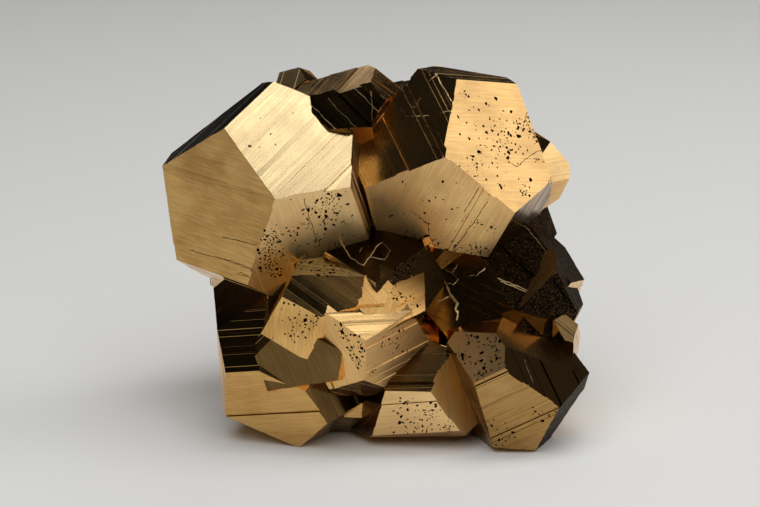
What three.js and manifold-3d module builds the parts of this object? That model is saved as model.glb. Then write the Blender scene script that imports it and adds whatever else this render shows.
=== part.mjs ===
// A cluster of pyrite crystals that grew into each other, with no rock left on it.
// Millimetres, +Z up, front towards -Y.
// The origin is under the middle of the cluster, on the surface that it rests on.
// Each crystal is a pyritohedron, with twelve five-sided faces. Low growth ledges run along its faces.
import * as THREE from 'three';
import Module from 'manifold-3d';

const wasm = await Module();
wasm.setup();

// Driving dimensions

// How steeply the twelve faces lean: a face looks this much along its main axis for 1 along its minor axis.
const STEEPNESS = 1.63;
// The least distance between two corners that count as two, and how far off a plane a corner may lie.
const CORNER_GAP = 1e-4;
const ON_PLANE = 1e-5;
// Three planes that enclose less than this share of a right-angled corner count as parallel.
const PARALLEL = 1e-6;
// The whole cluster moves this far once it is built, so that the origin is under the middle of its box.
const CENTRING = [0.92, 0.44, 0];
// A growth ledge reaches this far into the crystal below it, and its step leans back by this angle.
const LEDGE_ROOT = 1.5;
const LEDGE_LEAN = 20;
// The colour of the metal, and how it shines.
const COLOUR = 0xb59f6a;
const ROUGHNESS = 0.3;
const METALNESS = 1.0;

// Crystals, named for where they sit.
// at: the middle of the crystal. reach: how far its faces lie from there.
// turn: degrees about x, then y, then z.
// grown: faces that lie further out or in than the others.
// facing: faces that lean their own way, as [degrees right of the front, degrees up, distance].
// broken: flat breaks, given the same way.
// ledges: growth ledges on a face, or on every face, each as [from, to, height], measured across the face.
const CRYSTALS = {
  bigLeft: {
    at: [-20, 2, 45.5],
    reach: 19.4,
    turn: [-100, -61, -122],
    grown: {
      '+x+z': 0.8, '+x-z': 0.2, '+y+x': -1.3, '+y-x': 0.5, '-y+x': -0.5, '+z+y': 0.3,
      '+z-y': -0.3, '-z+y': 0.5, '-z-y': -4, '-y-x': -2,
    },
    broken: [[-122, 47, 19.3]],
    ledges: { '+y+x': [[-11, 20, 0.35]], '+x+z': [[7, 11, 0.3]], '+z+y': [[3, 20, 0.3]] },
  },
  bigRight: {
    at: [13.5, 2, 52.5],
    reach: 17.4,
    turn: [79, 33, -66],
    grown: {
      '+x+z': -0.6, '+x-z': 2.3, '+y+x': -0.3, '+y-x': 0.7, '-y+x': -1.8, '+z+y': -0.8,
      '+z-y': 1.6, '-z+y': -1.1, '-x+z': -4, '-z-y': -3,
    },
    broken: [[158, 64, 17.8], [-122, 48, 17.2]],
    ledges: { '+z+y': [[-16, -3, 0.4], [6, 16, 0.5]], '+x+z': [[-9, -6, 0.3]], '+y+x': [[5, 20, 0.3]] },
  },
  top: {
    at: [-6.5, 3, 61],
    reach: 9,
    turn: [48, 22, -117],
    facing: {
      '+y+x': [-2, 44, 9.2], '+z+y': [-31, 71, 8.4], '+y-x': [56, 52, 10.6], '+x+z': [-40, -4, 11.5],
    },
    broken: [[-145, 58, 8.5], [119, 45, 10.7]],
    ledges: { '+y+x': [[-3, 1, 0.4]], '+z+y': [[-3, 1, 0.3]] },
  },
  lowLeft: {
    at: [-17.5, -9.7, 15.3],
    reach: 14.5,
    turn: [137, 77, -64],
    grown: {
      '+x+z': -0.9, '+x-z': 1.4, '+y+x': -0.3, '+y-x': -0.5, '+z+y': 0.1, '-z+y': -0.8, '-x+z': -3,
    },
    broken: [[-101, -3, 13.2], [17, 39, 11.6]],
    ledges: { '+y+x': [[-12, -4, 0.35], [4, 7, 0.3]] },
  },
  lowRight: {
    at: [26, -15, 14],
    reach: 12.4,
    turn: [166, 60, -31],
    grown: { '+x+z': 1.4, '+x-z': 0.3, '+y+x': -0.1, '+y-x': 1.8, '+z+y': -1.9, '-z+y': -0.9 },
    broken: [[-67, 78, 12], [66, 56, 9.1]],
    ledges: { '+y+x': [[-9, -5, 0.3], [4, 9, 0.25]], '-z+y': [[-3, 0, 0.3], [4, 7, 0.25]] },
  },
  nose: {
    at: [-3.5, -22, 20.5],
    reach: 9,
    turn: [157, 36, -60],
    grown: { '-y+x': 3, '-z-y': 3, '+y-x': 3 },
    facing: { '+y+x': [-33, -11, 7], '-z+y': [24, 58, 9.6], '+x-z': [49, -11, 6.2], '+x+z': [5, -57, 7.2] },
    ledges: { '+y+x': [[-7.5, -4.5, 0.4], [1, 3, 0.4]], '+x-z': [[-4, 0, 0.35]] },
  },
  cheek: {
    at: [-15.5, -17.5, 18.5],
    reach: 8,
    turn: [155, 36, -55],
    grown: { '+x-z': 5, '-z+y': 3 },
    facing: {
      '+y+x': [-14, 1, 8.6], '+y-x': [-69, 37, 9.2], '+x+z': [17, -66, 6.9], '+z+y': [-100, -20, 6.3],
    },
  },
  brow: {
    at: [-12, -16, 25],
    reach: 9,
    turn: [91, 19, -103],
    grown: { '+x-z': 1.3 },
    facing: {
      '+y+x': [1, 48, 11.2], '+x+z': [-22, 5, 11.4], '-z+y': [22, 44, 13], '+y-x': [6, 77, 11.3],
      '-y+x': [-88, -64, 5.3],
    },
    ledges: { '+y+x': [[-4, -1, 0.5]] },
  },
  middle: {
    at: [3, -11, 27.5],
    reach: 9,
    turn: [148, -33, 71],
    grown: { '-x-z': 7, '-x+z': 1.5 },
    facing: { '+y+x': [42, 44, 8.4], '-z+y': [22, 44, 10.5], '+y-x': [52, -35, 8.2] },
    broken: [[95, -5, 4.8], [1, 48, 12.2], [-7, 63, 11.4]],
    ledges: { '+y+x': [[-5, -2, 0.3]] },
  },
  darkRight: {
    at: [23, -2.5, 25],
    reach: 13.5,
    turn: [4, -47, 155],
    facing: { '+y+x': [-23, 35, 12.1], '+z+y': [30, 50, 11.2], '+z-y': [80, 43, 14.5] },
    ledges: { '+y+x': [[4, 8, 0.5]], '+z+y': [[-6, -1, 0.4]] },
  },
  edgeRight: {
    at: [28.5, -4.5, 23.5],
    reach: 10,
    turn: [31, 24, -116],
    facing: { '+y+x': [34, 10, 10.4], '+z+y': [-59, 58, 7.5], '+y-x': [80, 24, 10.8] },
    ledges: { '+y+x': [[-6, -3, 0.4], [0, 3, 0.3]] },
  },
  foot: {
    at: [7, -13.5, 7.5],
    reach: 12,
    turn: [-118, -42, -64],
    facing: {
      '+y+x': [-6, -21, 9.4], '-z+y': [-62, 1, 10.9], '+x-z': [-7, 51, 12.4],
      '+x+z': [50, 15, 11.4], '+y-x': [2, -59, 7.7],
    },
    broken: [[0, -80, 6.4]],
    ledges: { '+x-z': [[1, 4, 0.4]], '+y+x': [[3, 6, 0.2]], '+x+z': [[-4, 0, 0.3]] },
  },
  leftLedge: {
    at: [-23.5, -9.5, 25.5],
    reach: 9,
    turn: [132, 14, -89],
    facing: { '+y+x': [-41, 32, 4.4], '+x+z': [-26, -36, 8.7] },
  },
  recess: {
    at: [-7, -9.5, 5.5],
    reach: 7,
    turn: [-100, -63, -75],
    facing: { '+y+x': [6, -3, 7.7], '+y-x': [0, -51, 5] },
  },
  chipRight: {
    at: [34.5, -10.5, 19],
    reach: 4.5,
    turn: [138, -21, 7],
    facing: { '+y+x': [33, 50, 5.6], '+z+y': [12, -19, 5.7] },
  },
  shoulder: {
    at: [30, 7, 50],
    reach: 7,
    turn: [-110, -78, -21],
    facing: { '+y+x': [50, 13, 7.2], '+y-x': [47, -35, 7.2] },
    broken: [[114, 44, 5.6]],
  },
  gap: { at: [-3.5, 3.5, 46.5], reach: 8, turn: [168, 2, -21], facing: { '+y+x': [12, 9, 7] } },
  shelf: {
    at: [0, -3, 31],
    reach: 12,
    turn: [20, 35, 60],
    grown: { '-x-z': 4 },
    facing: { '+y+x': [20, 61, 12], '-y-x': [46, 11, 13.6] },
  },
  chipTop: { at: [-16.5, 6.5, 65], reach: 4.5, turn: [136, -30, -43], facing: { '+y+x': [-28, 51, 4.6] } },
  behindRight: { at: [23.5, 10, 36.5], reach: 10, turn: [20, 70, 10] },
  backTop: { at: [4, 13, 52], reach: 12, turn: [35, -20, 15], ledges: { every: [[-4, 0, 0.4]] } },
  backLeft: {
    at: [-18, 12, 33], reach: 15, turn: [-15, 40, 70], ledges: { every: [[-7, -1, 0.4], [4, 6, 0.3]] },
  },
  backRight: {
    at: [13, 15, 31], reach: 13.5, turn: [60, 25, -35], ledges: { every: [[-3, 2, 0.4], [5, 8, 0.3]] },
  },
  backLow: {
    at: [-6, 11, 10.5], reach: 13.6, turn: [10, -30, 25], ledges: { every: [[-5, -1, 0.4], [3, 6, 0.5]] },
  },
  backLowRight: { at: [22, 7, 11], reach: 12.5, turn: [-40, 15, 80], ledges: { every: [[0, 4, 0.4]] } },
  core: { at: [-2, 5, 28], reach: 15.5, turn: [0, 0, 20] },
  heart: { at: [10, 1, 34], reach: 9, turn: [0, 40, 0] },
  keel: { at: [4, -11.5, 18], reach: 7.4, turn: [0, 0, 60] },
  underside: { at: [6, -2, 9.5], reach: 11, turn: [25, 10, 50] },
};

// Directions

function degrees(angle) {
  return THREE.MathUtils.degToRad(angle);
}

// The direction that is this far round from the front towards the right, and this far up.
function direction(side, up) {
  return new THREE.Vector3(
    Math.sin(degrees(side)) * Math.cos(degrees(up)),
    -Math.cos(degrees(side)) * Math.cos(degrees(up)),
    Math.sin(degrees(up)),
  );
}

// The twelve directions of a crystal's faces, named by their main axis and their minor axis, such as +y+x.
function faceDirections() {
  const axes = {
    x: new THREE.Vector3(1, 0, 0),
    y: new THREE.Vector3(0, 1, 0),
    z: new THREE.Vector3(0, 0, 1),
  };
  const minorOf = { x: 'z', y: 'x', z: 'y' };
  const signs = { '+': 1, '-': -1 };
  const directions = {};
  for (const main of ['x', 'y', 'z']) {
    const minor = minorOf[main];
    for (const a of ['+', '-']) {
      for (const b of ['+', '-']) {
        const face = axes[main].clone().multiplyScalar(signs[a] * STEEPNESS);
        face.addScaledVector(axes[minor], signs[b]);
        directions[a + main + b + minor] = face.normalize();
      }
    }
  }
  return directions;
}

const FACE_DIRECTIONS = faceDirections();

// Planes: a solid is the space behind all its planes. A plane is { normal, distance } from the origin.

function plane(normal, point, distance) {
  return { normal, distance: normal.dot(point) + distance };
}

function crystalPlanes(crystal) {
  const middle = new THREE.Vector3(...crystal.at);
  const turn = new THREE.Euler(...crystal.turn.map(degrees), 'ZYX');
  const planes = {};
  for (const [name, own] of Object.entries(FACE_DIRECTIONS)) {
    const facing = crystal.facing?.[name];
    if (facing) {
      planes[name] = plane(direction(facing[0], facing[1]), middle, facing[2]);
    } else {
      const grown = crystal.grown?.[name] ?? 0;
      planes[name] = plane(own.clone().applyEuler(turn), middle, crystal.reach + grown);
    }
  }
  (crystal.broken ?? []).forEach(([side, up, distance], i) => {
    planes[`break${i}`] = plane(direction(side, up), middle, distance);
  });
  // Nothing goes below the surface that the cluster rests on, where it was broken off its rock.
  planes.ground = { normal: new THREE.Vector3(0, 0, -1), distance: 0 };
  return planes;
}

// Solids

// The point where three planes meet, or null where they don't.
function meeting(a, b, c) {
  const across = new THREE.Vector3().crossVectors(b.normal, c.normal);
  const size = a.normal.dot(across);
  if (Math.abs(size) < PARALLEL) {
    return null;
  }
  const point = across.multiplyScalar(a.distance);
  point.addScaledVector(new THREE.Vector3().crossVectors(c.normal, a.normal), b.distance);
  point.addScaledVector(new THREE.Vector3().crossVectors(a.normal, b.normal), c.distance);
  return point.divideScalar(size);
}

// Every corner of the solid that these planes enclose, each once.
function corners(planes) {
  const found = [];
  for (let i = 0; i < planes.length; i += 1) {
    for (let j = i + 1; j < planes.length; j += 1) {
      for (let k = j + 1; k < planes.length; k += 1) {
        const point = meeting(planes[i], planes[j], planes[k]);
        const inside = point && planes.every((p) => p.normal.dot(point) < p.distance + ON_PLANE);
        if (inside && !found.some((other) => other.distanceTo(point) < CORNER_GAP)) {
          found.push(point);
        }
      }
    }
  }
  return found;
}

// The corners that lie on one plane, in order round it, seen from outside.
function outline(face, points) {
  const isOn = (i) => Math.abs(face.normal.dot(points[i]) - face.distance) < CORNER_GAP;
  const on = points.map((_, i) => i).filter(isOn);
  if (on.length < 3) {
    return [];
  }
  const middle = on.reduce((sum, i) => sum.add(points[i]), new THREE.Vector3()).divideScalar(on.length);
  const right = points[on[0]].clone().sub(middle).normalize();
  const up = new THREE.Vector3().crossVectors(face.normal, right);
  const angle = (i) => {
    const away = points[i].clone().sub(middle);
    return Math.atan2(away.dot(up), away.dot(right));
  };
  return on.sort((i, j) => angle(i) - angle(j));
}

function solidBehind(planes) {
  const points = corners(planes);
  const triangles = [];
  for (const face of planes) {
    const round = outline(face, points);
    for (let i = 1; i + 1 < round.length; i += 1) {
      triangles.push(round[0], round[i], round[i + 1]);
    }
  }
  const vertProperties = new Float32Array(points.flatMap((p) => p.toArray()));
  const triVerts = new Uint32Array(triangles);
  return new wasm.Manifold(new wasm.Mesh({ numProp: 3, vertProperties, triVerts }));
}

// The direction of a face's growth ledges: along the crystal axis that its name leaves out.
function ledgeDirection(crystal, name, normal) {
  const third = { x: [0, 1, 0], y: [0, 0, 1], z: [1, 0, 0] }[name[1]];
  const turn = new THREE.Euler(...crystal.turn.map(degrees), 'ZYX');
  const along = new THREE.Vector3(...third).applyEuler(turn);
  return along.addScaledVector(normal, -along.dot(normal)).normalize();
}

// One growth ledge: a low plate that covers the face from one line to another and stands this high.
function ledge(crystal, planes, name, [from, to, height]) {
  const face = planes[name];
  const middle = new THREE.Vector3(...crystal.at);
  const across = new THREE.Vector3().crossVectors(face.normal, ledgeDirection(crystal, name, face.normal));
  const top = { normal: face.normal, distance: face.distance + height };
  const root = { normal: face.normal.clone().negate(), distance: LEDGE_ROOT - face.distance };
  const lean = degrees(LEDGE_LEAN);
  const side = (way, reach) => {
    const normal = across.clone().multiplyScalar(way * Math.cos(lean));
    normal.addScaledVector(face.normal, Math.sin(lean));
    const foot = middle.clone().addScaledVector(across, reach);
    foot.addScaledVector(face.normal, face.distance - face.normal.dot(middle));
    return plane(normal, foot, 0);
  };
  const others = Object.entries(planes).filter(([other]) => other !== name).map(([, value]) => value);
  return solidBehind([top, root, side(-1, from), side(1, to), ...others]);
}

function crystalSolid(crystal) {
  const planes = crystalPlanes(crystal);
  let solid = solidBehind(Object.values(planes));
  for (const name of Object.keys(FACE_DIRECTIONS)) {
    for (const step of crystal.ledges?.[name] ?? crystal.ledges?.every ?? []) {
      solid = solid.add(ledge(crystal, planes, name, step));
    }
  }
  return solid;
}

// The cluster

function clusterGeometry() {
  let cluster = null;
  for (const crystal of Object.values(CRYSTALS)) {
    const solid = crystalSolid(crystal);
    cluster = cluster ? cluster.add(solid) : solid;
  }
  const mesh = cluster.translate(CENTRING).getMesh();
  const geometry = new THREE.BufferGeometry();
  geometry.setAttribute('position', new THREE.BufferAttribute(new Float32Array(mesh.vertProperties), 3));
  geometry.setIndex(new THREE.BufferAttribute(new Uint32Array(mesh.triVerts), 1));
  geometry.computeVertexNormals();
  return geometry;
}

function pyrite() {
  return new THREE.MeshStandardMaterial({
    name: 'pyrite', color: COLOUR, roughness: ROUGHNESS, metalness: METALNESS, flatShading: true,
  });
}

const cluster = new THREE.Mesh(clusterGeometry(), pyrite());
cluster.name = 'pyrite_cluster';

const part = new THREE.Group();
part.name = 'pyrite';
part.add(cluster);

export default part;
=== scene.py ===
import math
import random

import bpy
import numpy as np
from mathutils import Euler, Matrix, Vector


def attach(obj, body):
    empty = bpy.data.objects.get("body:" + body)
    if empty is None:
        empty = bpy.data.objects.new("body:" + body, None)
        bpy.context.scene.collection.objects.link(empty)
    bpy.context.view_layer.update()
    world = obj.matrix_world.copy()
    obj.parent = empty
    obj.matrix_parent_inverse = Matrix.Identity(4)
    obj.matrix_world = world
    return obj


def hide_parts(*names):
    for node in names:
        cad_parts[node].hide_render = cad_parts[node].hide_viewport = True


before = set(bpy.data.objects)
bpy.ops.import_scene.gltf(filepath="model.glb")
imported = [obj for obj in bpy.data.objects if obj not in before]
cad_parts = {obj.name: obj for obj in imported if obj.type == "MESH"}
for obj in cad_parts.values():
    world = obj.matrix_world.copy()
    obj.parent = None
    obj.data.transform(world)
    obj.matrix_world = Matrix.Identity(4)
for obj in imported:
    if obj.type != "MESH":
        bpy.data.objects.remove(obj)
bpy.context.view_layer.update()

# Sizes

MM = 0.001
# How steeply the twelve faces lean: this much along the main axis for 1 along the minor axis.
STEEPNESS = 1.63
# The cluster moves this far, in mm, so that the origin is under the middle of its box.
CENTRING = (0.92, 0.44, 0)

# Crystals, in mm and degrees, named for where they sit.
# at: the middle of the crystal. reach: how far its faces lie from there. turn: about x, then y, then z.
# grown: faces that lie further out or in than the others.
# facing: faces that lean their own way, as [right of the front, up, distance from the middle].
# broken: flat breaks, given the same way.
# ledges: high growth ledges on a face, as [from, to, height], measured across the face.
CRYSTALS = {
    "bigLeft": {
        "at": [-20, 2, 45.5],
        "reach": 19.4,
        "turn": [-100, -61, -122],
        "grown": {
            "+x+z": 0.8, "+x-z": 0.2, "+y+x": -1.3, "+y-x": 0.5, "-y+x": -0.5, "+z+y": 0.3,
            "+z-y": -0.3, "-z+y": 0.5, "-z-y": -4, "-y-x": -2,
        },
        "broken": [[-122, 47, 19.3]],
        "ledges": {"+y+x": [[-11, 20, 0.35]], "+x+z": [[7, 11, 0.3]], "+z+y": [[3, 20, 0.3]]},
    },
    "bigRight": {
        "at": [13.5, 2, 52.5],
        "reach": 17.4,
        "turn": [79, 33, -66],
        "grown": {
            "+x+z": -0.6, "+x-z": 2.3, "+y+x": -0.3, "+y-x": 0.7, "-y+x": -1.8, "+z+y": -0.8,
            "+z-y": 1.6, "-z+y": -1.1, "-x+z": -4, "-z-y": -3,
        },
        "broken": [[158, 64, 17.8], [-122, 48, 17.2]],
        "ledges": {"+z+y": [[-16, -3, 0.4], [6, 16, 0.5]], "+x+z": [[-9, -6, 0.3]], "+y+x": [[5, 20, 0.3]]},
    },
    "top": {
        "at": [-6.5, 3, 61],
        "reach": 9,
        "turn": [48, 22, -117],
        "facing": {
            "+y+x": [-2, 44, 9.2], "+z+y": [-31, 71, 8.4], "+y-x": [56, 52, 10.6], "+x+z": [-40, -4, 11.5],
        },
        "broken": [[-145, 58, 8.5], [119, 45, 10.7]],
        "ledges": {"+y+x": [[-3, 1, 0.4]], "+z+y": [[-3, 1, 0.3]]},
    },
    "lowLeft": {
        "at": [-17.5, -9.7, 15.3],
        "reach": 14.5,
        "turn": [137, 77, -64],
        "grown": {
            "+x+z": -0.9, "+x-z": 1.4, "+y+x": -0.3, "+y-x": -0.5, "+z+y": 0.1, "-z+y": -0.8, "-x+z": -3,
        },
        "broken": [[-101, -3, 13.2], [17, 39, 11.6]],
        "ledges": {"+y+x": [[-12, -4, 0.35], [4, 7, 0.3]]},
    },
    "lowRight": {
        "at": [26, -15, 14],
        "reach": 12.4,
        "turn": [166, 60, -31],
        "grown": {"+x+z": 1.4, "+x-z": 0.3, "+y+x": -0.1, "+y-x": 1.8, "+z+y": -1.9, "-z+y": -0.9},
        "broken": [[-67, 78, 12], [66, 56, 9.1]],
        "ledges": {"+y+x": [[-9, -5, 0.3], [4, 9, 0.25]], "-z+y": [[-3, 0, 0.3], [4, 7, 0.25]]},
    },
    "nose": {
        "at": [-3.5, -22, 20.5],
        "reach": 9,
        "turn": [157, 36, -60],
        "grown": {"-y+x": 3, "-z-y": 3, "+y-x": 3},
        "facing": {
            "+y+x": [-33, -11, 7], "-z+y": [24, 58, 9.6], "+x-z": [49, -11, 6.2], "+x+z": [5, -57, 7.2],
        },
        "ledges": {"+y+x": [[-7.5, -4.5, 0.4], [1, 3, 0.4]], "+x-z": [[-4, 0, 0.35]]},
    },
    "cheek": {
        "at": [-15.5, -17.5, 18.5],
        "reach": 8,
        "turn": [155, 36, -55],
        "grown": {"+x-z": 5, "-z+y": 3},
        "facing": {
            "+y+x": [-14, 1, 8.6], "+y-x": [-69, 37, 9.2], "+x+z": [17, -66, 6.9], "+z+y": [-100, -20, 6.3],
        },
    },
    "brow": {
        "at": [-12, -16, 25],
        "reach": 9,
        "turn": [91, 19, -103],
        "grown": {"+x-z": 1.3},
        "facing": {
            "+y+x": [1, 48, 11.2], "+x+z": [-22, 5, 11.4], "-z+y": [22, 44, 13], "+y-x": [6, 77, 11.3],
            "-y+x": [-88, -64, 5.3],
        },
        "ledges": {"+y+x": [[-4, -1, 0.12]]},
    },
    "middle": {
        "at": [3, -11, 27.5],
        "reach": 9,
        "turn": [148, -33, 71],
        "grown": {"-x-z": 7, "-x+z": 1.5},
        "facing": {"+y+x": [42, 44, 8.4], "-z+y": [22, 44, 10], "+y-x": [52, -35, 8.2]},
        "broken": [[95, -5, 4.8], [1, 48, 12.2], [-7, 63, 11.4]],
        "ledges": {"+y+x": [[-5, -2, 0.1]]},
    },
    "darkRight": {
        "at": [23, -2.5, 25],
        "reach": 13.5,
        "turn": [4, -47, 155],
        "facing": {"+y+x": [-23, 35, 12.1], "+z+y": [30, 50, 11.2], "+z-y": [80, 43, 14.5]},
        "ledges": {"+y+x": [[4, 8, 0.5]], "+z+y": [[-6, -1, 0.4]]},
    },
    "edgeRight": {
        "at": [28.5, -4.5, 23.5],
        "reach": 10,
        "turn": [31, 24, -116],
        "facing": {"+y+x": [34, 10, 10.4], "+z+y": [-59, 58, 7.5], "+y-x": [80, 24, 10.8]},
        "ledges": {"+y+x": [[-6, -3, 0.4], [0, 3, 0.3]]},
    },
    "foot": {
        "at": [7, -13.5, 7.5],
        "reach": 12,
        "turn": [-118, -42, -64],
        "facing": {
            "+y+x": [-6, -21, 9.4], "-z+y": [-62, 1, 10.9], "+x-z": [-7, 51, 12.4],
            "+x+z": [50, 15, 11.4], "+y-x": [2, -59, 7.7],
        },
        "broken": [[0, -80, 6.4]],
        "ledges": {"+x-z": [[1, 4, 0.4]], "+y+x": [[3, 6, 0.2]], "+x+z": [[-4, 0, 0.3]]},
    },
    "leftLedge": {
        "at": [-23.5, -9.5, 25.5],
        "reach": 9,
        "turn": [132, 14, -89],
        "facing": {"+y+x": [-41, 32, 4.4], "+x+z": [-26, -36, 8.7]},
    },
    "recess": {
        "at": [-7, -9.5, 5.5],
        "reach": 7,
        "turn": [-100, -63, -75],
        "facing": {"+y+x": [6, -3, 7.7], "+y-x": [0, -51, 5]},
    },
    "chipRight": {
        "at": [34.5, -10.5, 19],
        "reach": 4.5,
        "turn": [138, -21, 7],
        "facing": {"+y+x": [33, 50, 5.6], "+z+y": [12, -19, 5.7]},
    },
    "shoulder": {
        "at": [30, 7, 50],
        "reach": 7,
        "turn": [-110, -78, -21],
        "facing": {"+y+x": [50, 13, 7.2], "+y-x": [47, -35, 7.2]},
        "broken": [[114, 44, 5.6]],
    },
    "gap": {"at": [-3.5, 3.5, 46.5], "reach": 8, "turn": [168, 2, -21], "facing": {"+y+x": [12, 9, 7]}},
    "shelf": {
        "at": [0, -3, 31],
        "reach": 12,
        "turn": [20, 35, 60],
        "grown": {"-x-z": 4},
        "facing": {"+y+x": [20, 61, 12], "-y-x": [46, 11, 13.6]},
    },
    "chipTop": {
        "at": [-16.5, 6.5, 65],
        "reach": 4.5,
        "turn": [136, -30, -43],
        "facing": {"+y+x": [-28, 51, 4.6]},
    },
    "behindRight": {"at": [23.5, 10, 36.5], "reach": 10, "turn": [20, 70, 10]},
    "backTop": {"at": [4, 13, 52], "reach": 12, "turn": [35, -20, 15], "ledges": {"every": [[-4, 0, 0.4]]}},
    "backLeft": {
        "at": [-18, 12, 33],
        "reach": 15,
        "turn": [-15, 40, 70],
        "ledges": {"every": [[-7, -1, 0.4], [4, 6, 0.3]]},
    },
    "backRight": {
        "at": [13, 15, 31],
        "reach": 13.5,
        "turn": [60, 25, -35],
        "ledges": {"every": [[-3, 2, 0.4], [5, 8, 0.3]]},
    },
    "backLow": {
        "at": [-6, 11, 10.5],
        "reach": 13.6,
        "turn": [10, -30, 25],
        "ledges": {"every": [[-5, -1, 0.4], [3, 6, 0.5]]},
    },
    "backLowRight": {
        "at": [22, 7, 11],
        "reach": 12.5,
        "turn": [-40, 15, 80],
        "ledges": {"every": [[0, 4, 0.4]]},
    },
    "core": {"at": [-2, 5, 28], "reach": 15.5, "turn": [0, 0, 20]},
    "heart": {"at": [10, 1, 34], "reach": 9, "turn": [0, 40, 0]},
    "keel": {"at": [4, -11.5, 18], "reach": 7.4, "turn": [0, 0, 60]},
    "underside": {"at": [6, -2, 9.5], "reach": 11, "turn": [25, 10, 50]},
}


# Pits in a face, in clusters: (across, along, how far they spread, how many). Their middles in mm are
# measured from under the crystal's middle, across the ledges and along them.
PITS = {
    ("bigLeft", "+z+y"): [
        (6.3, 6.4, 1.4, 130), (7.9, 3.9, 1.1, 110), (8.2, 0.3, 1.2, 90), (2.2, 4.9, 1.2, 16),
        (-6.2, 9.5, 1.3, 34), (-3, 8.9, 0.7, 12), (-4.7, 4.7, 0.8, 14), (-1.2, 6.2, 0.9, 14),
        (-1.9, 0.8, 0.7, 16), (-8.9, 8.7, 0.6, 10), (7.8, -1.8, 0.9, 14), (-5.3, 6.7, 4, 60),
        (4.1, 2.6, 2.5, 20),
    ],
    ("bigLeft", "+x+z"): [(0, 0, 9, 10)],
    ("bigRight", "+x+z"): [
        (-5.1, -8.6, 1, 20), (-7.8, -5.9, 1.1, 28), (-10.7, -4.7, 1.2, 34), (-12.6, -4.2, 0.8, 16),
        (-11.2, 1.7, 0.8, 16), (-2.5, -6.7, 1.3, 14), (-8.3, 1.5, 0.9, 8), (0, 0, 7, 30),
    ],
    ("bigRight", "+y+x"): [
        (-3.4, -7.1, 0.9, 22), (-4.4, -8.5, 0.7, 16), (-1.5, -9.8, 1.1, 44), (-0.1, -11, 0.9, 34),
        (-3.5, -5.7, 0.7, 16), (8.1, 3, 0.35, 10), (9.1, 0.2, 0.5, 18), (10.1, -5.6, 0.8, 16),
        (2.8, 3.8, 0.3, 7), (3.4, -9.4, 0.4, 8), (-8.8, 6, 0.6, 12), (0.7, -2.4, 3.4, 50),
        (5.8, 5.1, 1.5, 16), (0, 0, 7, 40),
    ],
    ("nose", "+y+x"): [
        (-4.1, -5.8, 1.3, 26), (-1.6, -8.4, 0.8, 12), (1, -3.2, 1.1, 40), (-0.4, -5.2, 1.8, 24),
    ],
    ("nose", "+x-z"): [(-2.6, -7.3, 0.6, 16), (-3.6, 3.3, 1, 8), (1.7, 3.5, 0.6, 24), (-3.9, -0.5, 3, 24)],
    ("foot", "+y+x"): [
        (3.8, 6, 0.9, 34), (6, 1.1, 1.2, 16), (2, 1, 1.4, 14), (6.2, -4, 1.5, 10), (4, 0, 4, 40),
    ],
    ("lowRight", "+y-x"): [
        (3.5, -2.5, 1, 16), (0.9, -3.6, 1.3, 16), (5.6, 0.7, 0.8, 30), (-2.7, 1.3, 1, 30),
        (0.6, 3.9, 1.1, 24), (6.2, -5.4, 0.6, 20), (1, -8, 0.8, 14), (2, -2, 4, 40),
    ],
    ("lowRight", "+y+x"): [(5.3, 7.2, 1.2, 14), (5.2, 4.4, 1.3, 14), (1.3, 6.1, 2, 14), (3.9, -4.4, 2, 10)],
    ("brow", "+x+z"): [(-4.7, 2.1, 0.9, 26), (-1.5, 0.6, 1.3, 14), (0.5, -0.7, 1, 8), (-1.2, 2.5, 3, 20)],
    ("brow", "+y-x"): [(0, 0, 5, 90)],
    ("middle", "+y+x"): [(-10.3, -4, 1, 20), (-14, -3.1, 0.8, 14), (-6.5, -3.1, 1, 20), (-8, 0, 3, 30)],
    ("shelf", "-y-x"): [(7.4, -4.6, 1.5, 40), (6.2, -2.2, 1.2, 30)],
    ("backTop", "+y+x"): [(0, 0, 4, 60)],
    ("backRight", "-x+z"): [(2, 1, 2, 50), (-4, -3, 3, 60)],
    ("backLeft", "-x-z"): [(0, 4, 3, 60)],
    ("backLow", "+y+x"): [(3, 0, 2, 60), (-3, 2, 2, 40)],
}

# Cracks in a face, as lines of (across, along) points in mm.
CRACKS = {
    ("bigLeft", "+z+y"): [[(-2.2, 11.7), (-2, 9.2), (-1.9, 6), (-1.8, 0.9)]],
    ("bigLeft", "+y+x"): [
        [(-10.3, -8.5), (-9.9, -0.2), (-9.6, 3.4), (-9.8, 11)], [(-11.6, 6.7), (-11.5, 10.3)],
        [(-5.3, 2.4), (-4.6, 11.7)], [(-9.4, 3.6), (-9.5, 11)], [(-11.3, 7.4), (-11.2, 10)],
    ],
    ("bigRight", "+x+z"): [
        [(4.6, -2.4), (2.6, -2.9), (0, -3.9), (-1.4, -6.2), (-3.5, -8.4), (-4, -10.4)],
        [(-5, 9.1), (-4.9, 2.3)], [(-7.7, 7.4), (-7.6, 3), (-6.7, -8.2)],
    ],
    ("bigRight", "+y+x"): [
        [(1.3, -11.8), (2, -9.1), (5.2, -4.3), (4.3, -2.5)],
        [(2.6, -12.1), (5.8, -12.5), (6.6, -12.6), (8.7, -10.9), (9.7, -10.1)],
        [(-6.7, -8.7), (-4.8, -7.5), (-2.1, -8.9), (0.6, -11.7)],
    ],
    ("middle", "+y+x"): [[(-3.3, 3), (-5.6, 1.7), (-7.6, 0.4), (-8.6, 1.1), (-11, 1.6)]],
}

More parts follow.
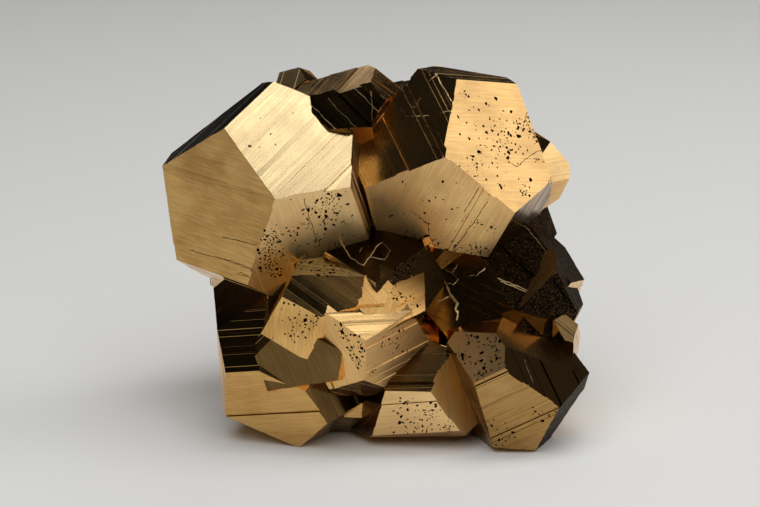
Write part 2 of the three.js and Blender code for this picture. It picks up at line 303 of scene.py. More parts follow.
# Bright raised veins on a face, as (half width, line of (across, along) points), in mm.
VEINS = {
    ("shelf", "-y-x"): [
        (0.09, [(8.9, -7.6), (8.1, -5.9), (7.2, -4.4)]), (0.08, [(7.2, -4.4), (5.9, -3.1), (5.1, -1.2)]),
        (0.07, [(6.6, -5.9), (5.4, -4.9), (4.3, -4.6)]), (0.07, [(8.6, -3.9), (7.4, -2.1)]),
    ],
    ("bigRight", "+z+y"): [
        (0.25, [(0.6, -4.9), (1.2, -1.6), (3.6, 0.4), (6.1, 2.3), (10.4, 4.9)]),
        (0.2, [(1.9, -3.3), (3.9, -2.1), (5.2, -3.3), (7.5, -4.7), (10.9, -5.3)]),
        (0.2, [(5.4, -3.6), (5.6, 1.3), (5.1, 10.5)]), (0.2, [(10.4, -5.5), (10.5, -0.8), (10.7, 4.1)]),
    ],
    ("top", "+y+x"): [
        (0.15, [(-1.9, 0.2), (-1.1, -3.5), (0.9, -10.5)]), (0.2, [(5.8, 4.4), (7, 0.4), (8.2, -4.4)]),
        (0.15, [(2.8, 2.3), (3.8, -0.6), (5.2, -5.4), (5.7, -7.4)]),
        (0.12, [(-3, -3.9), (-0.3, -6.1), (2.6, -8)]),
        (0.25, [
            (8.3, -5.2), (6.4, -7.1), (5.9, -9.1), (3.8, -9.6), (2.6, -10.7), (-0.3, -10.7), (-1.4, -11.5),
        ]),
        (0.2, [(6.9, -7.4), (7.3, -8.5), (8.7, -9.4)]),
    ],
    ("darkRight", "+y+x"): [
        (0.2, [(6.9, -6.2), (3.5, -6), (0.2, -6.2)]),
        (0.35, [(0.2, -6.2), (-2.4, -5.8), (-3.2, -6.7), (-4.7, -6.7), (-5.4, -7.4)]),
        (0.18, [(0.6, -9.2), (-0.1, -8.1), (0, -6.7)]),
        (0.18, [(5.5, -4.8), (3.7, -3.9), (2, -3.5), (1.6, -4.6), (2.5, -5.6)]),
        (0.18, [(5, -2.1), (3.9, -3.8)]), (0.18, [(1.8, -1.3), (0.8, 0.2), (1.3, 2.3)]),
    ],
    ("darkRight", "+z+y"): [
        (0.18, [(5.3, 0.3), (1.9, -6)]), (0.18, [(5.5, -0.5), (2.4, -6.1)]),
        (0.15, [(-10, 6.2), (-8.8, -1.4)]),
    ],
    ("shelf", "-x+z"): [
        (0.17, [(6.1, 2.7), (8.5, 0.6), (9.8, -2.3), (9.9, -6)]), (0.15, [(9.9, -6), (3.8, -4)]),
        (0.15, [(3.8, -4), (2.6, -4.2)]), (0.15, [(3.4, -6.9), (6, -8), (7.1, -5.5)]),
        (0.12, [(6.2, -2.1), (7.5, -2.7)]),
    ],
    ("shelf", "+y+x"): [
        (0.15, [(-1.4, -5.9), (-1.7, -4.6), (-4, -5.4), (-4.9, -8.2), (-2.6, -9.6)]),
        (0.15, [(-3.0, -12.7), (-1.4, -5.9)]),
    ],
    ("lowRight", "-z+y"): [(0.18, [(-5.7, -1.7), (-6.3, 3.7)])],
    ("backLeft", "-x+z"): [(0.2, [(-6, -5), (-1, -2), (2, 3), (7, 5)]), (0.15, [(-1, -2), (1, -7)])],
    ("backRight", "+y+x"): [(0.2, [(-7, 2), (-2, 0), (1, -4), (6, -6)])],
}


# Directions


def direction(side, up):
    """The way that points this many degrees to the right of the front and up."""
    side, up = math.radians(side), math.radians(up)
    return Vector((math.sin(side) * math.cos(up), -math.cos(side) * math.cos(up), math.sin(up)))


def face_directions():
    """Each face's direction and the direction of its growth ledges, in the crystal's own axes."""
    axes = {"x": Vector((1, 0, 0)), "y": Vector((0, 1, 0)), "z": Vector((0, 0, 1))}
    minor_of = {"x": "z", "y": "x", "z": "y"}
    signs = {"+": 1, "-": -1}
    directions = {}
    for main, minor in minor_of.items():
        third = next(a for a in axes if a not in (main, minor))
        for a in signs:
            for b in signs:
                normal = signs[a] * STEEPNESS * axes[main] + signs[b] * axes[minor]
                directions[a + main + b + minor] = (normal.normalized(), axes[third])
    return directions


FACES = face_directions()


class Face:
    """A crystal face: its normal, a point on it under the crystal's middle, and the way its ledges run."""

    def __init__(self, middle, normal, distance, along, turn_of_steps=0):
        self.normal = normal
        self.point = middle + normal * distance
        self.along = (along - normal * along.dot(normal)).normalized()
        self.across = normal.cross(self.along)
        # The same two ways on the face, turned to follow its steps.
        angle = math.radians(turn_of_steps)
        self.step_along = self.along * math.cos(angle) + self.across * math.sin(angle)
        self.step_across = normal.cross(self.step_along)

    def place(self, across, along, height):
        return self.point + self.across * across + self.along * along + self.normal * height

    def step_place(self, across, along, height):
        return self.point + self.step_across * across + self.step_along * along + self.normal * height

    def over_steps(self, across, along):
        return (self.across * across + self.along * along).dot(self.step_across)


def crystal_faces(crystal_name, crystal):
    """The crystal's twelve faces, in mm, before the cluster is centred."""
    middle = Vector(crystal["at"])
    turn = Euler([math.radians(a) for a in crystal["turn"]], "XYZ").to_matrix()
    faces = {}
    for name, (normal, along) in FACES.items():
        facing = crystal.get("facing", {}).get(name)
        turn_of_steps = TURNED.get((crystal_name, name), 0)
        if facing:
            side, up, distance = facing
            faces[name] = Face(middle, direction(side, up), distance, turn @ along, turn_of_steps)
        else:
            distance = crystal["reach"] + crystal.get("grown", {}).get(name, 0)
            faces[name] = Face(middle, turn @ normal, distance, turn @ along, turn_of_steps)
    return faces


def crystal_breaks(crystal):
    """The crystal's flat breaks, and the ground that cuts every crystal off at height 0."""
    middle = Vector(crystal["at"])
    up = Vector((0, 0, 1))
    breaks = [Face(middle, direction(s, u), d, up) for s, u, d in crystal.get("broken", [])]
    ground = Face(Vector((0, 0, 0)), -up, 0, Vector((1, 0, 0)))
    return breaks + [ground]


# Growth steps

# Each face is a stair of low steps along its ledges: how wide they are and how much one differs from
# the next, in mm. Plain faces have steps too low to see alone, striped ones have steps that show as lines.
STEPS = {"plain": (1.2, 0.012), "fine": (0.7, 0.03), "striped": (0.6, 0.07), "banded": (1.2, 0.11)}
STEPPED = {
    ("bigLeft", "+y+x"): "plain", ("bigLeft", "+z+y"): "plain", ("bigRight", "+x+z"): "plain",
    ("bigRight", "+y+x"): "plain", ("lowLeft", "+y+x"): "plain", ("brow", "+x+z"): "plain",
    ("foot", "+y+x"): "plain", ("lowRight", "+y-x"): "plain", ("darkRight", "+z+y"): "plain",
    ("edgeRight", "+z+y"): "plain", ("edgeRight", "+y+x"): "plain", ("cheek", "+y+x"): "plain",
    ("bigRight", "+z+y"): "banded", ("brow", "+y+x"): "striped", ("foot", "+x-z"): "striped",
    ("nose", "+x-z"): "striped", ("middle", "+y+x"): "striped", ("darkRight", "+y+x"): "striped",
    ("brow", "-z+y"): "plain", ("middle", "-z+y"): "plain",
    ("lowRight", "-z+y"): "banded", ("nose", "-z+y"): "striped", ("lowLeft", "-z+y"): "banded",
    ("chipRight", "+y+x"): "striped",
}
# Crystals that only fill the inside, with flat faces.
INNER = ("core", "heart", "keel")
# Faces whose steps run off the crystal's own way, in degrees.
TURNED = {
    ("brow", "+y+x"): -30, ("brow", "-z+y"): 59, ("nose", "+x-z"): 25, ("nose", "+y+x"): 66,
    ("nose", "-z+y"): 80, ("middle", "+y+x"): 55, ("cheek", "+y+x"): 70, ("foot", "+x-z"): -82,
    ("foot", "+y+x"): 31, ("foot", "+x+z"): 30, ("darkRight", "+y+x"): -57, ("chipRight", "+y+x"): 32,
    ("shelf", "-x+z"): 14, ("shelf", "+y+x"): -82, ("lowLeft", "-z+y"): 22, ("top", "+y+x"): -15,
}
# How much the widths of the steps vary, as the spread of their logarithm.
WIDTH_SPREAD = 0.75
# How much of its height a step keeps from the one before.
HEIGHT_KEPT = 0.6
# A riser leans this far off upright, in degrees, and is this wide at the least and at the most, halved.
RISER_LEAN = 35
LEAST_HALF_RISER = 0.004
MOST_HALF_RISER = 0.04
# How far a tread tilts, in degrees.
TREAD_TILT = 0.6


def ledge_height(ledges, across):
    return sum(rise for start, end, rise in ledges if start < across < end)


def growth_steps(chance, half, ledges, width, height):
    """The stepped outline of a face from one side to the other, as (across, height) points."""
    points = []
    level = 0.0
    left = -half
    while left < half:
        tread = width * math.exp(chance.gauss(0, WIDTH_SPREAD))
        right = min(left + tread, half)
        level = HEIGHT_KEPT * level + chance.gauss(0, height)
        top = level + ledge_height(ledges, (left + right) / 2)
        tilt = math.tan(math.radians(chance.gauss(0, TREAD_TILT))) * (right - left) / 2
        points.append((left, top - tilt, right, top + tilt))
        left = right
    outline = [(points[0][0], points[0][1])]
    for (_, _, edge, low), (_, start, _, _) in zip(points, points[1:]):
        lean = abs(start - low) * math.tan(math.radians(RISER_LEAN)) / 2
        half_riser = min(lean + LEAST_HALF_RISER, MOST_HALF_RISER)
        outline.append((edge - half_riser, low))
        outline.append((edge + half_riser, start))
    outline.append((points[-1][2], points[-1][3]))
    return outline


# Solids

# What a polygon of the cluster is, where it isn't part of a numbered crystal face.
BREAK, PIT, CRACK, VEIN = -1, -2, -3, -4


def new_piece(name, verts, faces, mark=BREAK):
    """A mesh object in mm, each of its polygons marked with the face it belongs to or with what it is."""
    mesh = bpy.data.meshes.new(name)
    mesh.from_pydata([tuple(v) for v in verts], [], faces)
    marks = mesh.attributes.new("mark", "INT", "FACE")
    marks.data.foreach_set("value", [mark] * len(mesh.polygons))
    mesh.update()
    piece = bpy.data.objects.new(name, mesh)
    bpy.context.scene.collection.objects.link(piece)
    return piece


def tube(sections):
    """The corners and polygons of a closed form through these rings of equal count, given outwards."""
    count = len(sections[0])
    verts = [point for ring in sections for point in ring]
    faces = [tuple(range(count)), tuple(reversed(range(len(verts) - count, len(verts))))]
    for k in range(len(sections) - 1):
        for i in range(count):
            j = (i + 1) % count
            faces.append((k * count + j, k * count + i, (k + 1) * count + i, (k + 1) * count + j))
    return verts, faces


# Half the side of a face's slab, for the crystal's reach, and what is added to it in mm, so that it
# reaches past the crystal's farthest corner.
SLAB_SHARE = 1.9
SLAB_SPARE = 6
# A face's number is its crystal's number times this and its own place among the twelve.
NUMBERS_PER_CRYSTAL = 100


def slab_behind(name, face, outline, half, depth, mark=BREAK):
    """A block behind a face, whose front has this stepped outline along the way the ledges run."""
    section = [(-half, -depth)] + outline + [(half, -depth)]
    rings = [[face.step_place(w, end, h) for w, h in section] for end in (-half, half)]
    verts, faces = tube(rings)
    return new_piece(name, verts, faces, mark)


# Pits and lines, in mm

# How far a pit reaches from its middle: the usual reach, the most, and the spread of its logarithm.
PIT_REACH = 0.19
MOST_PIT_REACH = 0.45
PIT_SPREAD = 0.45
# The pits of a cluster lie around its middle with this share of its spread as their deviation.
CLUSTER_SPREAD = 0.7
# A pit is up to this much longer than it is wide. Its corners come in to this share of its reach, and lie
# off their even places by up to this share of the space between them.
PIT_LONGER = 0.9
PIT_INWARD = 0.5
PIT_SHIFT = 0.25
# Pits are cut in layers that may overlap, so that they run together where they are dense. A table's
# count is made this much larger, because those nearer than the gap in one layer are left out.
PIT_LAYERS = 3
PIT_COUNT_SHARE = 1.6
PIT_GAP = 0.01
# A pit's cutting form: how wide its mouth and its floor are for the pit's width, and how high its mouth
# stands over the face.
PIT_MOUTH = 1.1
PIT_MOUTH_HEIGHT = 0.6
PIT_FLOOR = 0.45
# How far the points of a crack or a vein lie from its own line, how far apart they are, and how much
# narrower or wider than its usual width it is there.
WIGGLE = 0.07
LINE_STEP = 0.6
NARROWEST, WIDEST = 0.7, 1.2
# Half the width of a crack, its depth, and how far its cutting form stands over the face.
CRACK_HALF_WIDTH = 0.07
CRACK_DEPTH = 0.25
CRACK_OVER = 0.4
# How deep a vein's edges and its root lie in the face, and how high its ridge is for its half width.
VEIN_EDGE = 0.12
VEIN_ROOT = 0.4
VEIN_RIDGE = 0.8


def turned(x, y, angle):
    return x * math.cos(angle) - y * math.sin(angle), x * math.sin(angle) + y * math.cos(angle)


def pit_forms(chance, face, ledges, clusters):
    """Small ragged forms, none touching another, that stand where one layer of the pits is cut."""
    placed = []
    verts, faces = [], []
    for middle_across, middle_along, spread, count in clusters:
        for _ in range(round(count * PIT_COUNT_SHARE / PIT_LAYERS)):
            across = middle_across + chance.gauss(0, spread * CLUSTER_SPREAD)
            along = middle_along + chance.gauss(0, spread * CLUSTER_SPREAD)
            size = min(PIT_REACH * math.exp(chance.gauss(0, PIT_SPREAD)), MOST_PIT_REACH)
            longer = 1 + PIT_LONGER * chance.random()
            room = longer * size
            if any(math.hypot(across - a, along - b) < room + other + PIT_GAP for a, b, other in placed):
                continue
            placed.append((across, along, room))
            sides = chance.choice((5, 6, 7))
            start = chance.random() * math.tau
            lean = chance.random() * math.tau
            corners = []
            for i in range(sides):
                angle = start - math.tau * (i + chance.uniform(-PIT_SHIFT, PIT_SHIFT)) / sides
                reach = size * chance.uniform(PIT_INWARD, 1)
                corners.append(turned(reach * math.cos(angle), longer * reach * math.sin(angle), lean))
            level = ledge_height(ledges, face.over_steps(across, along))
            rings = []
            for share, height in ((PIT_MOUTH, PIT_MOUTH_HEIGHT), (1, 0), (PIT_FLOOR, -size)):
                rings.append([
                    face.place(across + share * a, along + share * b, level + height) for a, b in corners
                ])
            pit_verts, pit_faces = tube(rings)
            faces += [tuple(len(verts) + i for i in polygon) for polygon in pit_faces]
            verts += pit_verts
    return new_piece("pits", verts, faces, PIT)


def wandering(chance, line):
    """The line with points added between its own, each a little off, as a crack or a vein runs."""
    points = []
    for (a, b), (c, d) in zip(line, line[1:]):
        steps = max(1, round(math.hypot(c - a, d - b) / LINE_STEP))
        for i in range(steps):
            share = i / steps
            points.append((a + (c - a) * share, b + (d - b) * share))
    points.append(line[-1])
    return [(a + chance.gauss(0, WIGGLE), b + chance.gauss(0, WIGGLE)) for a, b in points]


def along_line(chance, face, ledges, line, section):
    """A closed form that follows a line on a face. The section is (sideways, height) points."""
    points = wandering(chance, line)
    rings = []
    for i, (across, along) in enumerate(points):
        before, after = points[max(i - 1, 0)], points[min(i + 1, len(points) - 1)]
        way = Vector((after[0] - before[0], after[1] - before[1])).normalized()
        level = ledge_height(ledges, face.over_steps(across, along))
        swell = chance.uniform(NARROWEST, WIDEST)
        rings.append([
            face.place(across + way.y * side * swell, along - way.x * side * swell, level + height)
            for side, height in section
        ])
    return tube(rings)


def crack_form(chance, face, ledges, line):
    wide = CRACK_HALF_WIDTH
    section = [(wide, CRACK_OVER), (wide, 0), (0, -CRACK_DEPTH), (-wide, 0), (-wide, CRACK_OVER)]
    return new_piece("crack", *along_line(chance, face, ledges, line, section), CRACK)


def vein_form(chance, face, ledges, half_width, line):
    section = [
        (half_width, -VEIN_EDGE), (half_width, -VEIN_ROOT), (-half_width, -VEIN_ROOT),
        (-half_width, -VEIN_EDGE), (0, VEIN_RIDGE * half_width),
    ]
    return new_piece("vein", *along_line(chance, face, ledges, line, section), VEIN)


def solid_of(name, base, operands):
    """The base joined with, cut by or kept inside each operand in turn, as one new piece."""
    for operation, operand in operands:
        modifier = base.modifiers.new(operation, "BOOLEAN")
        modifier.operation = operation
        modifier.solver = "MANIFOLD"
        modifier.object = operand
    evaluated = base.evaluated_get(bpy.context.evaluated_depsgraph_get())
    mesh = bpy.data.meshes.new_from_object(evaluated)
    mesh.name = name
    piece = bpy.data.objects.new(name, mesh)
    bpy.context.scene.collection.objects.link(piece)
    for used in [base] + [operand for _, operand in operands]:
        used_mesh = used.data
        bpy.data.objects.remove(used)
        bpy.data.meshes.remove(used_mesh)
    return piece


def crystal_solid(number, name, crystal):
    """One crystal: what is behind all of its faces, and behind its breaks and the ground."""
    half = crystal["reach"] * SLAB_SHARE + SLAB_SPARE
    slabs = []
    for side, (face_name, face) in enumerate(crystal_faces(name, crystal).items()):
        face_number = number * NUMBERS_PER_CRYSTAL + side
        chance = random.Random(face_number)
        own = crystal.get("ledges", {})
        ledges = own.get(face_name, own.get("every", []))
        if name in INNER:
            outline = [(-half, 0), (half, 0)]
        else:
            outline = growth_steps(chance, half, ledges, *STEPS[STEPPED.get((name, face_name), "fine")])
        label = f"{name}_{face_name}"
        slab = slab_behind(label, face, outline, half, 2 * half, face_number)
        key = (name, face_name)
        details = [("UNION", vein_form(chance, face, ledges, *vein)) for vein in VEINS.get(key, [])]
        details += [("DIFFERENCE", crack_form(chance, face, ledges, line)) for line in CRACKS.get(key, [])]
        for _ in range(PIT_LAYERS if key in PITS else 0):
            details.append(("DIFFERENCE", pit_forms(chance, face, ledges, PITS[key])))
        slabs.append(solid_of(label, slab, details) if details else slab)
    # The ground's slab is centred on the cluster and not on the crystal, so these slabs reach further.
    wide = 3 * half
    for face in crystal_breaks(crystal):
        slabs.append(slab_behind(f"{name}_break", face, [(-wide, 0), (wide, 0)], wide, 2 * wide))
    return solid_of(name, slabs[0], [("INTERSECT", slab) for slab in slabs[1:]])


# Surfaces

# Faces that differ from clean bright metal, as (crust, painted light, dullness). Crust is a rough dark
# layer of tiny grains. Painted light above 0 is painted shade, darker and browner metal; below 0 it is
# painted highlight, paler metal. Dullness blurs what the face mirrors.
FINISH_AND_PAINTED_LIGHT = {
    ("heart", "-y+x"): (0, 0.5, 0),
    ("recess", "+y-x"): (0, 0.7, 0),
    ("top", "+z+y"): (0, 0.65, 0),
    ("chipTop", "+y+x"): (0, -0.5, 0.6),
    ("bigRight", "+z+y"): (0, -0.1, 0.2),
    ("bigLeft", "+z-y"): (0, -0.5, 0.3),
    ("bigLeft", "+x+z"): (0, -0.7, 0.2),
    ("bigLeft", "+y+x"): (0, 0.18, 0.2),
    ("bigLeft", "+z+y"): (0, -0.4, 0.35),
    ("bigLeft", "+x-z"): (0, 0.7, 0),
    ("bigRight", "+y+x"): (0, -0.35, 0.2),
    ("bigRight", "+x+z"): (0, -0.2, 0.3),
    ("bigRight", "+x-z"): (0, 0.6, 0),
    ("top", "+y+x"): (0, 0.9, 0),
    ("top", "+x-z"): (0, 0.5, 0),
    ("top", "+y-x"): (0, 0.3, 0),
    ("shoulder", "+y+x"): (0, -0.5, 0.2),
    ("shelf", "-y-x"): (0.6, 0.9, 0),
    ("shelf", "-x+z"): (0, 0.85, 0),
    ("shelf", "+y+x"): (0, 0.8, 0),
    ("brow", "+y+x"): (0, 0.7, 0),
    ("brow", "+y-x"): (0, -1, 0.2),
    ("brow", "-z+y"): (0, 0.2, 0.2),
    ("middle", "+y+x"): (0, 0.05, 0.4),
    ("middle", "-z+y"): (0, 0.3, 0.2),
    ("middle", "+y-x"): (0, 0.3, 0.3),
    ("nose", "-z+y"): (0, -0.2, 0.1),
    ("nose", "+y+x"): (0, -0.1, 0.3),
    ("nose", "+x-z"): (0, -0.3, 0.8),
    ("nose", "+x+z"): (0, 0.5, 0),
    ("cheek", "+y+x"): (0, 0.8, 0.2),
    ("lowLeft", "+y+x"): (0, 0.15, 0.2),
    ("lowLeft", "+y-x"): (0, 0.5, 0),
    ("lowLeft", "-z+y"): (0, 0.9, 0),
    ("leftLedge", "+y+x"): (0.4, 0.9, 0),
    ("foot", "+y+x"): (0, -0.3, 0.3),
    ("foot", "-z+y"): (0, 0.8, 0),
    ("foot", "+x+z"): (0, -0.6, 0.7),
    ("foot", "+x-z"): (0.1, 0.7, 0),
    ("recess", "+y+x"): (0, 0.3, 0.3),
    ("lowRight", "+y+x"): (0, 0.45, 0.2),
    ("lowRight", "+y-x"): (0, -0.5, 1),
    ("lowRight", "-z+y"): (0, 1, 0),
    ("lowRight", "+x-z"): (1, 1, 0),
    ("darkRight", "+y+x"): (0, 0.65, 0.2),
    ("darkRight", "+z+y"): (1, 0.9, 0),
    ("darkRight", "+z-y"): (0.8, 0.9, 0),
    ("darkRight", "+y-x"): (0, 0.6, 0),
    ("edgeRight", "+z+y"): (0.7, 0.3, 0),
    ("edgeRight", "+y+x"): (1, 0.7, 0),
    ("edgeRight", "+y-x"): (1, 0.9, 0),
    ("behindRight", "+z-y"): (0.8, 0.9, 0),
    ("chipRight", "+y+x"): (0, 0.9, 0),
    ("lowRight", "+z+y"): (0, 0.6, 0.2),
    ("chipRight", "+z+y"): (0, 1, 0),
    ("chipRight", "+y-x"): (0, 0.8, 0),
}
# How strongly pits and cracks are darkened with painted shade, and the painted highlight and dullness of
# veins.
RECESS_SHADE_OF = {PIT: 1, CRACK: 1}
VEIN_HIGHLIGHT_AND_DULLNESS = (-0.8, 0.8)


def set_surfaces(piece):
    """Gives every polygon its place on its crystal face, in mm, its crust and dullness, and its painted
    light: painted shade and painted highlight on faces and veins, and painted shade in pits and cracks.
    """
    mesh = piece.data
    marks = np.zeros(len(mesh.polygons), int)
    mesh.attributes["mark"].data.foreach_get("value", marks)
    owners = {}
    for number, (name, crystal) in enumerate(CRYSTALS.items()):
        for side, (face_name, face) in enumerate(crystal_faces(name, crystal).items()):
            surface = FINISH_AND_PAINTED_LIGHT.get((name, face_name), (0, 0, 0))
            owners[number * NUMBERS_PER_CRYSTAL + side] = (face, surface)
    places = np.zeros((len(mesh.loops), 3))
    crust, painted_light, dull, recess_shade = (np.zeros(len(mesh.polygons)) for _ in range(4))
    for polygon, mark in zip(mesh.polygons, marks):
        if mark in owners:
            face, (crust[polygon.index], painted_light[polygon.index], dull[polygon.index]) = owners[mark]
            for loop in polygon.loop_indices:
                away = mesh.vertices[mesh.loops[loop].vertex_index].co - face.point
                places[loop, :2] = away.dot(face.step_across), away.dot(face.step_along)
        elif mark == VEIN:
            # Veins get painted highlight, paler metal, and more dullness.
            painted_light[polygon.index], dull[polygon.index] = VEIN_HIGHLIGHT_AND_DULLNESS
        # Pits and cracks get painted shade, a near-black fill.
        recess_shade[polygon.index] = RECESS_SHADE_OF.get(mark, 0)
    on_face = mesh.attributes.new("on_face", "FLOAT_VECTOR", "CORNER")
    on_face.data.foreach_set("vector", places.ravel())
    for label, values in (("crust", crust), ("painted_light", painted_light), ("dullness", dull), ("recess_shade", recess_shade)):
        mesh.attributes.new(label, "FLOAT", "FACE").data.foreach_set("value", values)


# Materials


def linear(hex_colour):
    """An sRGB hex colour as linear red, green, blue and alpha."""
    parts = [int(hex_colour[i:i + 2], 16) / 255 for i in (1, 3, 5)]
    return [c / 12.92 if c <= 0.04045 else ((c + 0.055) / 1.055) ** 2.4 for c in parts] + [1]


def node(tree, kind, values=None, links=None, **settings):
    """Adds a node, with the values of its sockets, the sockets that feed it and its own settings."""
    made = tree.nodes.new(kind)
    for key, value in settings.items():
        setattr(made, key, value)
    for key, value in (values or {}).items():
        made.inputs[key].default_value = value
    for key, source in (links or {}).items():
        tree.links.new(source, made.inputs[key])
    return made


def new_material(name):
    """A material with an empty node tree."""
    material = bpy.data.materials.new(name)
    material.use_nodes = True
    material.node_tree.nodes.clear()
    return material, material.node_tree


METAL = "#f4c87e"
BROWN_METAL = "#cb9350"
# Painted highlight: paler metal mixed into faces and veins where the painted light is below 0.
PAINTED_HIGHLIGHT_METAL = "#ffe9b8"
# Painted shade: darker, browner metal mixed into faces where the painted light is above 0.
PAINTED_SHADE = "#20160a"
CRUST = "#120d08"
# Painted glints: lighter brown on the tips of the crust grains.
PAINTED_GLINTS = "#7a5a34"
# Painted shade: near black, filling pits and cracks.
RECESS_SHADE = "#140f0a"
CARD = "#dcdcda"
# Clouds are about 8.3 mm wide, streaks 0.4 mm wide and 6.7 mm long, and grains 0.3 mm wide.
CLOUDS_PER_METRE = 120
STREAKS_PER_MM = (2.5, 0.15, 1)
GRAINS_PER_METRE = 3200
STREAK_DEPTH = 0.03 * MM
GRAIN_DEPTH = 0.5 * MM
# What a wholly dull face adds to the roughness, and the roughness of crust and dirt.
DULL_ROUGHNESS = 0.4
CRUST_ROUGHNESS = 0.62


def pyrite():
    """Natural pyrite, as it grew: a pale brass-yellow metal whose faces mirror the studio in streaks, with
    painted shade and painted highlight on some faces, painted glints on its crust and painted shade in its
    pits and cracks.
    """
    material, tree = new_material("pyrite")
    where = node(tree, "ShaderNodeTexCoord").outputs["Object"]
    on_face = node(tree, "ShaderNodeAttribute", attribute_name="on_face").outputs["Vector"]
    crust = node(tree, "ShaderNodeAttribute", attribute_name="crust").outputs["Fac"]
    painted_light = node(tree, "ShaderNodeAttribute", attribute_name="painted_light").outputs["Fac"]
    dullness = node(tree, "ShaderNodeAttribute", attribute_name="dullness").outputs["Fac"]
    recess_shade = node(tree, "ShaderNodeAttribute", attribute_name="recess_shade").outputs["Fac"]

    # Clouds, where the metal is a little browner and duller.
    clouds = node(
        tree, "ShaderNodeTexNoise", {"Scale": CLOUDS_PER_METRE, "Detail": 5}, {"Vector": where},
    ).outputs["Fac"]
    # Streaks along the growth steps, as fine dark and bright lines in what the face mirrors.
    stretched = node(
        tree, "ShaderNodeVectorMath", {1: STREAKS_PER_MM}, {0: on_face}, operation="MULTIPLY",
    ).outputs["Vector"]
    streaks = node(
        tree, "ShaderNodeTexNoise", {"Scale": 1, "Detail": 4}, {"Vector": stretched},
    ).outputs["Fac"]
    # Grains of crust, near black, with painted glints of lighter brown on their tips. The real ones are
    # finer than the render shows.
    grains = node(
        tree, "ShaderNodeTexNoise", {"Scale": GRAINS_PER_METRE, "Detail": 3}, {"Vector": where},
    ).outputs["Fac"]
    glint_mask = node(
        tree, "ShaderNodeMapRange", {"From Min": 0.53, "From Max": 0.7}, {"Value": grains},
    ).outputs["Result"]
    crust_and_glints = node(
        tree, "ShaderNodeMix", {6: linear(CRUST), 7: linear(PAINTED_GLINTS)}, {0: glint_mask}, data_type="RGBA",
    ).outputs[2]

    # The metal is browner where clouds and streaks meet.
    half_streaks = node(
        tree, "ShaderNodeMath", {1: 0.5}, {0: streaks}, operation="MULTIPLY",
    ).outputs["Value"]
    mottled = node(
        tree, "ShaderNodeMath", {1: 0.5}, {0: clouds, 2: half_streaks}, operation="MULTIPLY_ADD",
    ).outputs["Value"]
    browner = node(
        tree, "ShaderNodeMapRange", {"From Min": 0.35, "From Max": 0.7}, {"Value": mottled},
    ).outputs["Result"]
    clean = node(
        tree, "ShaderNodeMix", {6: linear(METAL), 7: linear(BROWN_METAL)}, {0: browner}, data_type="RGBA",
    ).outputs[2]
    # Painted highlight: paler metal where the painted light is below 0.
    painted_highlight = node(tree, "ShaderNodeMath", {1: -1}, {0: painted_light}, operation="MULTIPLY").outputs["Value"]
    pale = node(
        tree, "ShaderNodeMix", {7: linear(PAINTED_HIGHLIGHT_METAL)}, {0: painted_highlight, 6: clean}, data_type="RGBA",
    ).outputs[2]
    # Painted shade: darker, browner metal where the painted light is above 0.
    darker = node(
        tree, "ShaderNodeMix", {7: linear(PAINTED_SHADE)}, {0: painted_light, 6: pale}, data_type="RGBA",
    ).outputs[2]
    crusted = node(
        tree, "ShaderNodeMix", {}, {0: crust, 6: darker, 7: crust_and_glints}, data_type="RGBA",
    ).outputs[2]
    # Painted shade: near black in pits and cracks.
    colour = node(
        tree, "ShaderNodeMix", {7: linear(RECESS_SHADE)}, {0: recess_shade, 6: crusted}, data_type="RGBA",
    ).outputs[2]

    # Bright faces blur little, dull ones more, and crust, pits and cracks hardly mirror at all.
    smooth = node(
        tree, "ShaderNodeMapRange", {"From Min": 0.3, "From Max": 0.7, "To Min": 0.05, "To Max": 0.2},
        {"Value": clouds},
    ).outputs["Result"]
    streaky = node(
        tree, "ShaderNodeMath", {1: 0.12}, {0: streaks, 2: smooth}, operation="MULTIPLY_ADD",
    ).outputs["Value"]
    blurred = node(
        tree, "ShaderNodeMath", {1: DULL_ROUGHNESS}, {0: dullness, 2: streaky}, operation="MULTIPLY_ADD",
    ).outputs["Value"]
    crust_and_recesses = node(
        tree, "ShaderNodeMath", {}, {0: crust, 1: recess_shade}, operation="MAXIMUM",
    ).outputs["Value"]
    rough = node(
        tree, "ShaderNodeMix", {3: CRUST_ROUGHNESS}, {0: crust_and_recesses, 2: blurred}, data_type="FLOAT",
    ).outputs[0]

    fine = node(
        tree, "ShaderNodeBump", {"Strength": 0.25, "Distance": STREAK_DEPTH}, {"Height": streaks},
    ).outputs["Normal"]
    bumpy = node(
        tree, "ShaderNodeBump", {"Distance": GRAIN_DEPTH},
        {"Height": grains, "Strength": crust, "Normal": fine},
    ).outputs["Normal"]
    metal = node(
        tree, "ShaderNodeBsdfPrincipled", {"Metallic": 1},
        {"Base Color": colour, "Roughness": rough, "Normal": bumpy},
    )
    node(tree, "ShaderNodeOutputMaterial", {}, {"Surface": metal.outputs["BSDF"]})
    return material


def pale_floor():
    """Card with a matt surface: off-white, with no gloss to mirror the metal."""
    material, tree = new_material("card")
    card = node(tree, "ShaderNodeBsdfPrincipled", {"Base Color": linear(CARD), "Roughness": 0.9})
    node(tree, "ShaderNodeOutputMaterial", {}, {"Surface": card.outputs["BSDF"]})
    return material


# The cluster

solids = [crystal_solid(i, name, crystal) for i, (name, crystal) in enumerate(CRYSTALS.items())]
cluster = solid_of("pyrite", solids[0], [("UNION", solid) for solid in solids[1:]])
set_surfaces(cluster)
cluster.data.transform(Matrix.Scale(MM, 4) @ Matrix.Translation(CENTRING))
cluster.data.materials.clear()
cluster.data.materials.append(pyrite())
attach(cluster, "root")
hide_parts("pyrite_cluster")

# The studio

# Half the side of the floor, in metres.
FLOOR = 4
# How far up the camera looks from, in degrees, how far off it is, and what it looks at.
CAMERA_UP = 15
CAMERA_DISTANCE = 506.7 * MM
TARGET = Vector((0.92, 0.44, 34)) * MM

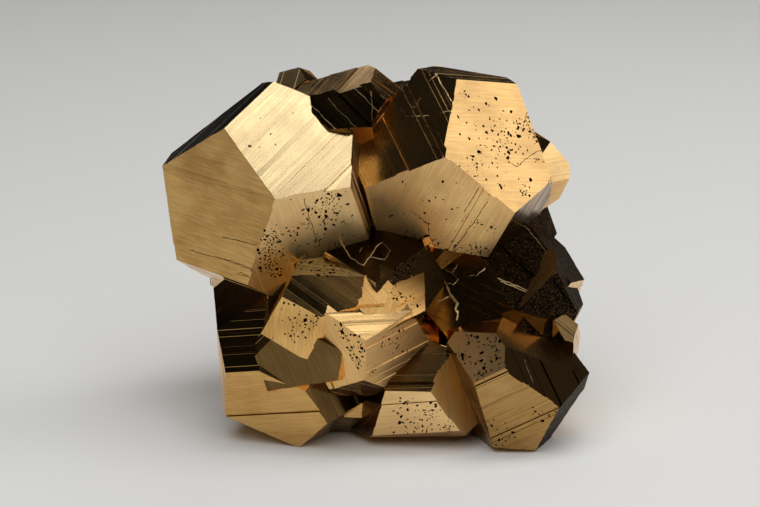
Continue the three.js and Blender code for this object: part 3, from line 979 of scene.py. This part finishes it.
corners = [(-FLOOR, -FLOOR, 0), (FLOOR, -FLOOR, 0), (FLOOR, FLOOR, 0), (-FLOOR, FLOOR, 0)]
floor = new_piece("floor", corners, [(0, 1, 2, 3)])
floor.data.materials.append(pale_floor())


def from_camera(right, up, towards):
    """A direction seen from the camera, in the cluster's own frame."""
    tilt = math.radians(CAMERA_UP)
    return Vector((
        right,
        up * math.sin(tilt) - towards * math.cos(tilt),
        up * math.cos(tilt) + towards * math.sin(tilt),
    )).normalized()


def soft_light(name, way, distance, width, height, glow, colour="#ffffff"):
    """A soft light in this direction from the cluster, facing it. Glow is how bright its face looks."""
    lamp = bpy.data.lights.new(name, "AREA")
    lamp.shape = "RECTANGLE"
    lamp.size, lamp.size_y = width, height
    lamp.energy = glow * math.pi * width * height
    lamp.color = linear(colour)[:3]
    light = bpy.data.objects.new(name, lamp)
    light.location = TARGET + way * distance
    light.rotation_euler = way.to_track_quat("Z", "Y").to_euler()
    bpy.context.scene.collection.objects.link(light)
    return light


# Each bright face of the cluster mirrors one of these three, and some faces are also made paler with
# painted highlight.
soft_light("overhead", from_camera(0.45, 0.87, 0.2), 0.8, 0.36, 0.75, 2.1)
soft_light("right", from_camera(0.94, 0.3, 0.12), 0.8, 0.6, 0.6, 1.24, "#fff4e4")
soft_light("behind", from_camera(0.12, 0.82, -0.53), 0.8, 0.46, 0.2, 2.2)
# This one lights the floor, and no face mirrors it.
fill = soft_light("fill", Vector((0, -0.6, 1)).normalized(), 1.4, 1.6, 1.6, 2.6)
fill.visible_glossy = False

world = bpy.data.worlds.new("room")
bpy.context.scene.world = world
world.use_nodes = True
background = world.node_tree.nodes["Background"]
background.inputs["Color"].default_value = linear("#ffffff")
background.inputs["Strength"].default_value = 0.012

camera_data = bpy.data.cameras.new("camera")
camera_data.lens = 120
camera_data.sensor_width = 36
camera_data.clip_start = 0.01
camera = bpy.data.objects.new("camera", camera_data)
bpy.context.scene.collection.objects.link(camera)
bpy.context.scene.camera = camera
towards_camera = from_camera(0, 0, 1)
camera.location = TARGET + towards_camera * CAMERA_DISTANCE
camera.rotation_euler = towards_camera.to_track_quat("Z", "Y").to_euler()

bpy.context.scene.view_settings.view_transform = "Standard"
